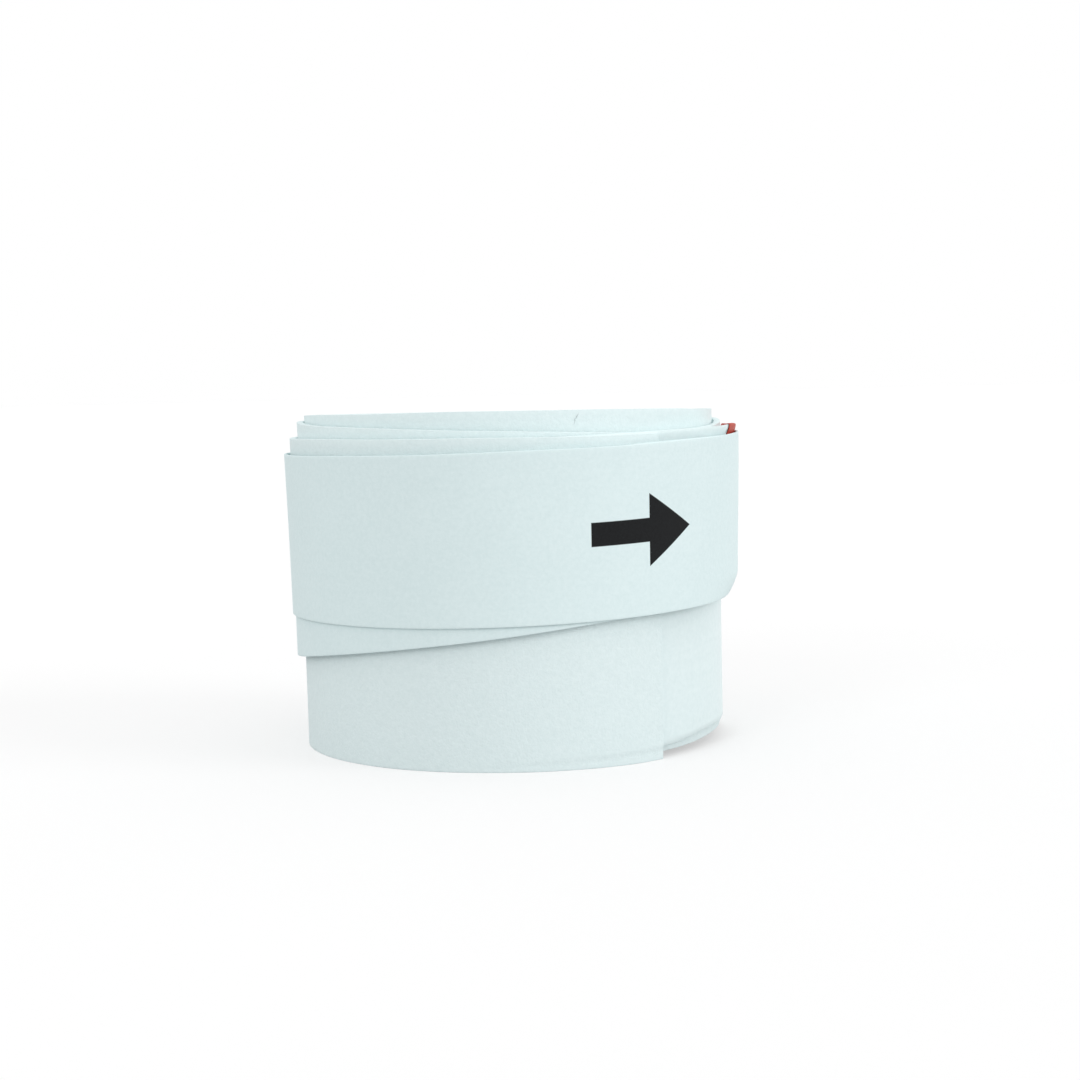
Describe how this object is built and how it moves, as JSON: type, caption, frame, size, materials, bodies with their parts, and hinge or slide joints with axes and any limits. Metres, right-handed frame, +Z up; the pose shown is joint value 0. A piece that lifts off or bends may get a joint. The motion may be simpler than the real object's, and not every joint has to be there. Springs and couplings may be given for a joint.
{
  "type": "grip tape roll",
  "caption": "Roll of soft white racket overgrip wound with its release film round a hollow core, held shut by a narrower finishing tape whose free end peels back.",
  "frame": {"origin": "middle of the box round the roll, on the surface that it stands on", "axes": "+Z up along the axis of the roll, -Y towards the side that the strip's last turn crosses before its cut end"},
  "size_m": [0.04, 0.0392, 0.0291],
  "materials": {
    "grip_strip": "matte, fine grain",
    "release_film": "satin film",
    "pull_tab": "glossy film",
    "starter_adhesive": "tacky",
    "starter_liner": "waxed paper",
    "finishing_tape": "matte film"
  },
  "bodies": {
    "roll": {"grip_strip": "grip_strip", "release_film": "release_film", "film_pull_tab": "pull_tab", "starter_adhesive": "starter_adhesive", "starter_liner": "starter_liner", "finishing_tape": "finishing_tape"},
    "flap_1": {"tape_flap_1": "finishing_tape"},
    "flap_2": {"tape_flap_2": "finishing_tape"},
    "flap_3": {"tape_flap_3": "finishing_tape"},
    "flap_4": {"tape_flap_4": "finishing_tape"}
  },
  "joints": [
    {"name": "peel_1", "type": "hinge", "parent": "roll", "child": "flap_1", "pos_m": [0.01835, 0.00809, 0.0194], "axis": [0, 0, -1], "range_deg": [0, 35]},
    {"name": "peel_2", "type": "hinge", "parent": "flap_1", "child": "flap_2", "pos_m": [0.01613, 0.01198, 0.0194], "axis": [0, 0, -1], "range_deg": [0, 35]},
    {"name": "peel_3", "type": "hinge", "parent": "flap_2", "child": "flap_3", "pos_m": [0.01311, 0.01528, 0.0194], "axis": [0, 0, -1], "range_deg": [0, 35]},
    {"name": "peel_4", "type": "hinge", "parent": "flap_3", "child": "flap_4", "pos_m": [0.00942, 0.01783, 0.0194], "axis": [0, 0, -1], "range_deg": [0, 35]}
  ],
  "couplings": [
    {"joint": "peel_2", "follows": "peel_1", "ratio": 1},
    {"joint": "peel_3", "follows": "peel_1", "ratio": 1},
    {"joint": "peel_4", "follows": "peel_1", "ratio": 1}
  ]
}
